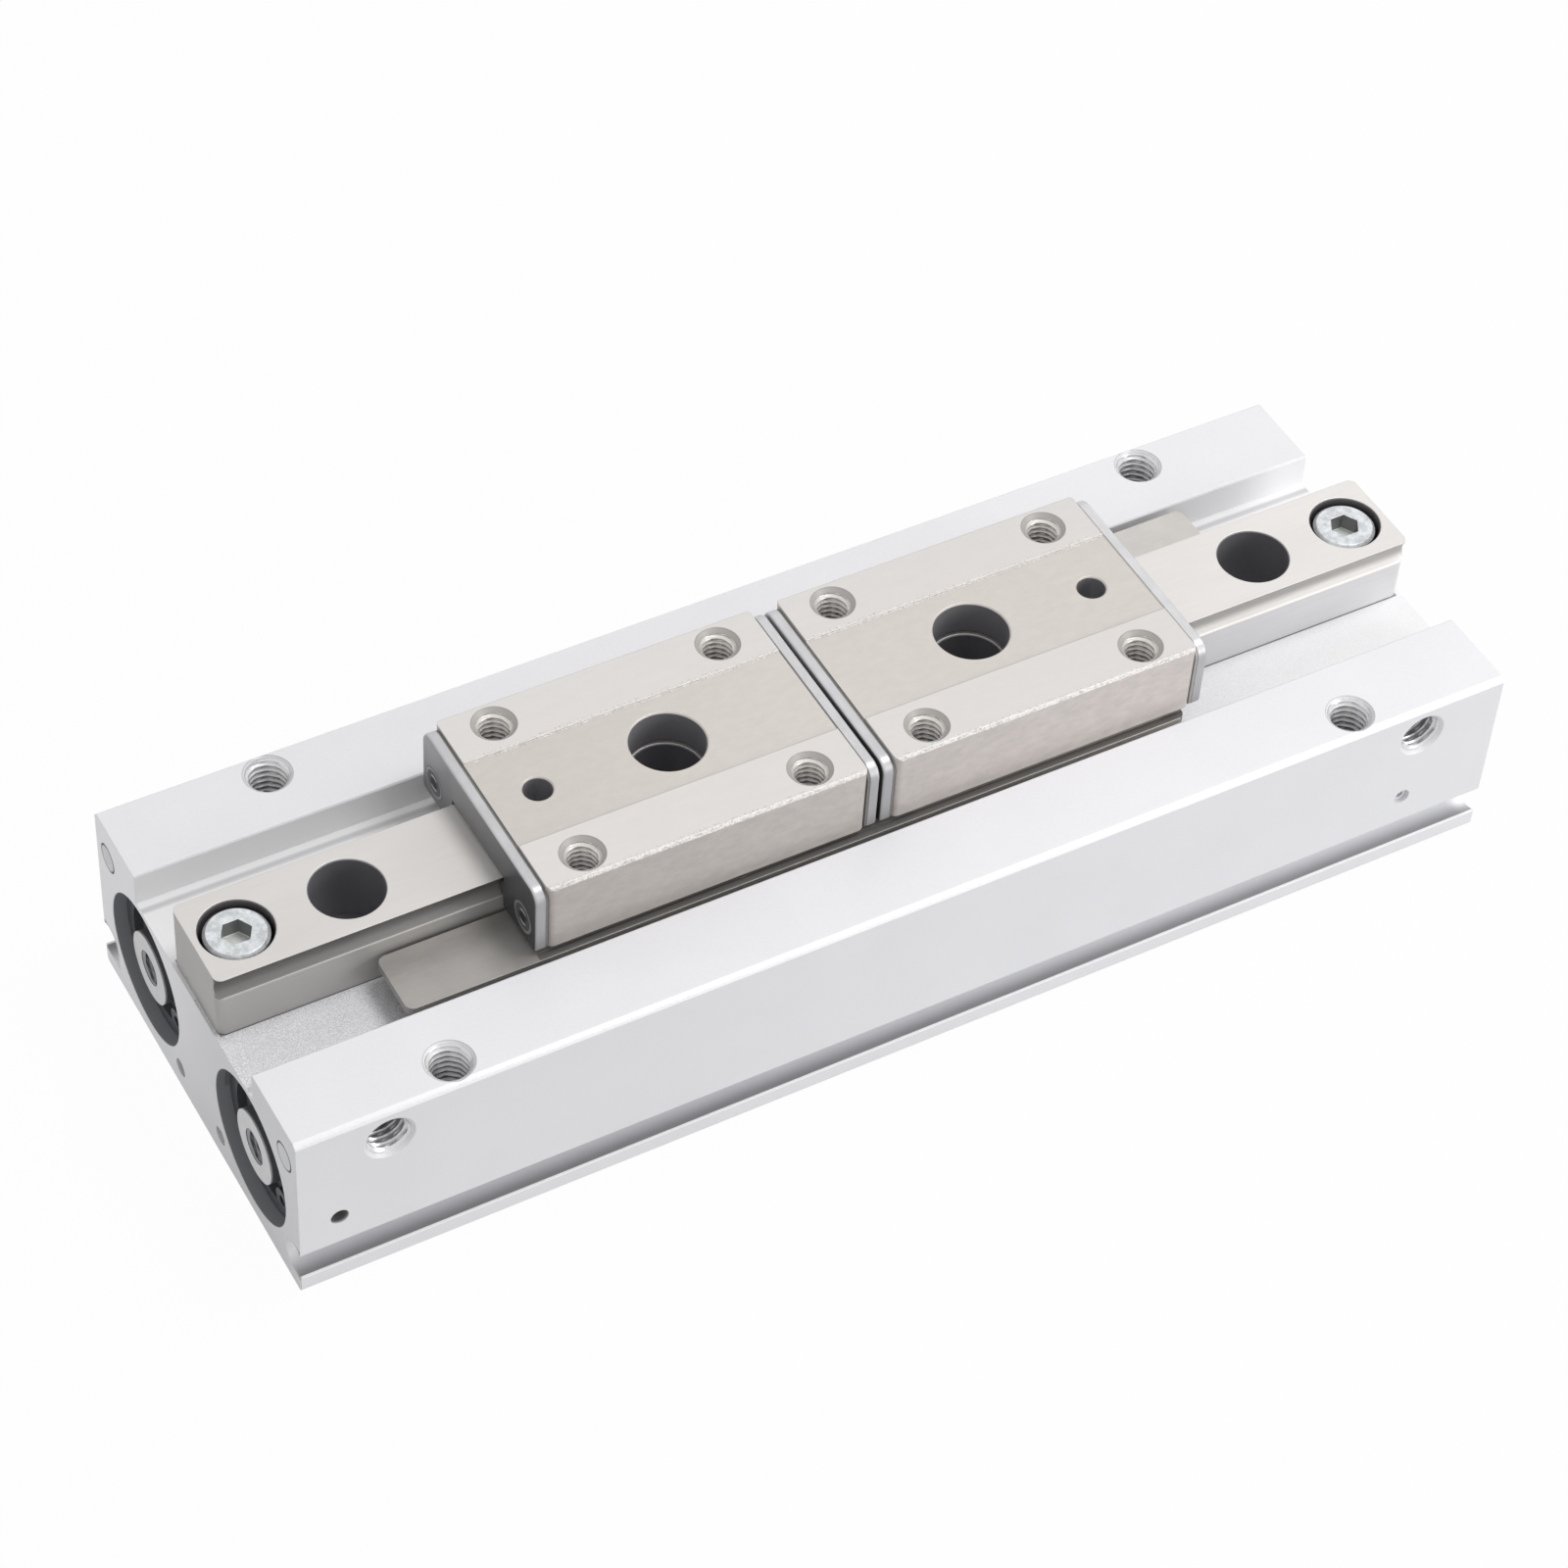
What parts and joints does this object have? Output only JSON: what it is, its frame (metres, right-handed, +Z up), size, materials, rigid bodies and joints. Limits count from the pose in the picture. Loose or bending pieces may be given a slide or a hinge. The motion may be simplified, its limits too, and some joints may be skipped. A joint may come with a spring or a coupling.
{
  "type": "low profile pneumatic gripper",
  "caption": "Flat parallel gripper: two fingers slide apart on one rail, driven by air pistons and kept in step by racks and a pinion.",
  "frame": {"origin": "middle of the bottom mounting face, fingers closed", "axes": "+X along the rail towards the right finger, +Y away from the side with the air ports, +Z up through the fingers"},
  "size_m": [0.1454, 0.05, 0.0328],
  "materials": {
    "anodised_aluminium": "satin clear anodised, bead blasted",
    "ground_steel": "fine ground, warm nickel grey",
    "end_plate_steel": "stamped satin",
    "rack_steel": "ground, slightly warm",
    "zinc_steel": "bright zinc",
    "black_spring_steel": "black oxide",
    "plug_steel": "satin",
    "gear_steel": "hardened and ground",
    "ball_steel": "polished",
    "cap_aluminium": "machined",
    "wear_ring_plastic": "moulded",
    "magnet_rubber": "plastic bonded",
    "rubber": "matt black"
  },
  "bodies": {
    "base": {"housing": "anodised_aluminium", "guide_rail": "ground_steel", "rail_screws": "zinc_steel", "retaining_rings": "black_spring_steel", "cap_o_rings": "rubber", "cap_bumpers": "rubber", "passage_plugs": "plug_steel", "cross_passage_screw": "zinc_steel", "pinion_pin": "gear_steel", "bore_cap_left_near": "cap_aluminium", "bore_cap_left_far": "cap_aluminium", "bore_cap_right_near": "cap_aluminium", "bore_cap_right_far": "cap_aluminium"},
    "right_finger": {"right_finger_block": "ground_steel", "right_inner_end_plate": "end_plate_steel", "right_outer_end_plate": "end_plate_steel", "right_end_seals": "rubber", "right_end_plate_screws": "black_spring_steel", "right_guide_balls": "ball_steel", "right_rack": "rack_steel", "right_rack_screws": "zinc_steel", "right_joint_pin": "gear_steel", "right_piston": "cap_aluminium", "right_piston_seals": "rubber", "right_wear_rings": "wear_ring_plastic", "right_magnet": "magnet_rubber"},
    "left_finger": {"left_finger_block": "ground_steel", "left_inner_end_plate": "end_plate_steel", "left_outer_end_plate": "end_plate_steel", "left_end_seals": "rubber", "left_end_plate_screws": "black_spring_steel", "left_guide_balls": "ball_steel", "left_rack": "rack_steel", "left_rack_screws": "zinc_steel", "left_joint_pin": "gear_steel", "left_piston": "cap_aluminium", "left_piston_seals": "rubber", "left_wear_rings": "wear_ring_plastic", "left_magnet": "magnet_rubber"},
    "pinion_gear": {"pinion": "gear_steel"}
  },
  "joints": [
    {"name": "right_finger_slide", "type": "slide", "parent": "base", "child": "right_finger", "axis": [1, 0, 0], "range_m": [0, 0.032]},
    {"name": "left_finger_slide", "type": "slide", "parent": "base", "child": "left_finger", "axis": [-1, 0, 0], "range_m": [0, 0.032]},
    {"name": "pinion_spin", "type": "hinge", "parent": "base", "child": "pinion_gear", "pos_m": [0, 0, 0.0183], "axis": [0, 0, 1], "range_deg": [0, 328]}
  ],
  "couplings": [
    {"joint": "left_finger_slide", "follows": "right_finger_slide", "ratio": 1},
    {"joint": "pinion_spin", "follows": "right_finger_slide", "rad_per_m": 178.57}
  ]
}
